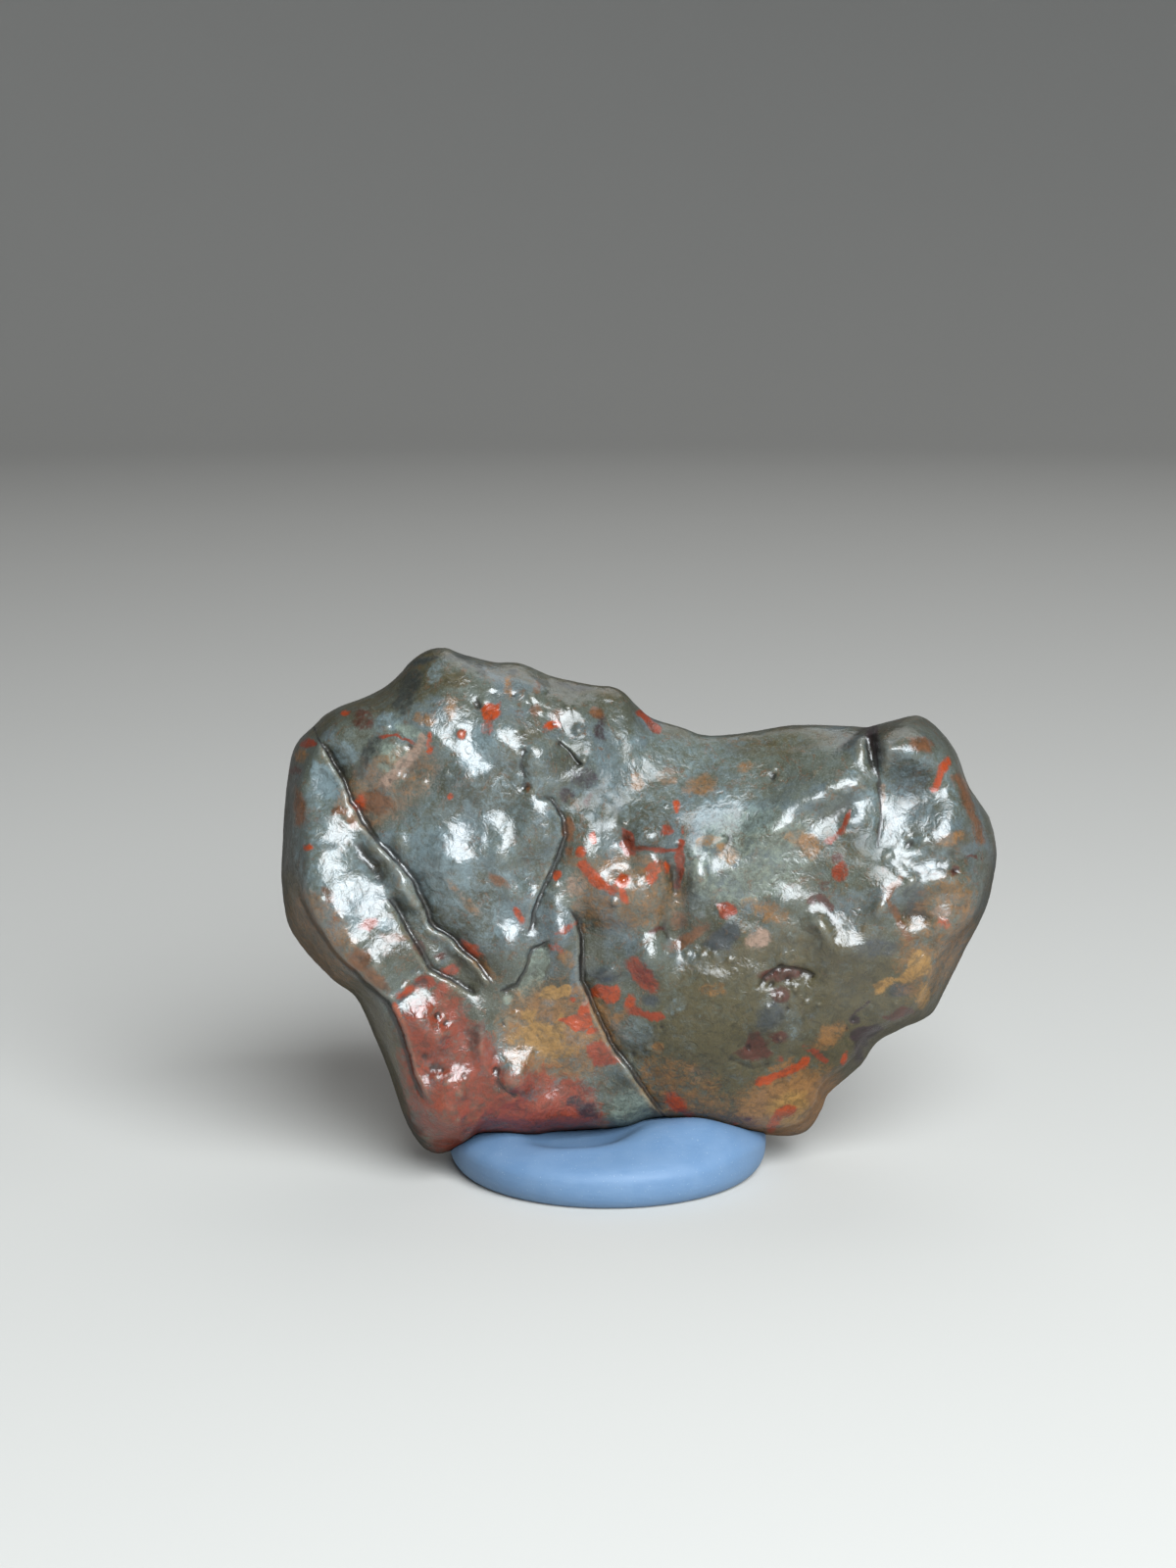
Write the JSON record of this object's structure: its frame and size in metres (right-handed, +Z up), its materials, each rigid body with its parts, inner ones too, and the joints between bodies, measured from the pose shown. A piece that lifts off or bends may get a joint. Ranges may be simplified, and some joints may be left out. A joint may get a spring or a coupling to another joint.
{
  "type": "gobi agate on a putty pad",
  "caption": "Wind-polished agate pebble with rounded lumps, healed cracks and plate edges, standing on its long edge in a flattened pad of soft putty.",
  "frame": {"origin": "on the surface that the pad lies on, under the middle of the box round the stone and its pad", "axes": "+X along the stone to the right, seen from its face; +Y from its face to its back; +Z up"},
  "size_m": [0.0611, 0.0275, 0.0452],
  "materials": {
    "agate": "gloss",
    "putty": "matte"
  },
  "bodies": {
    "root": {"agate": "agate", "putty_pad": "putty"}
  },
  "joints": []
}
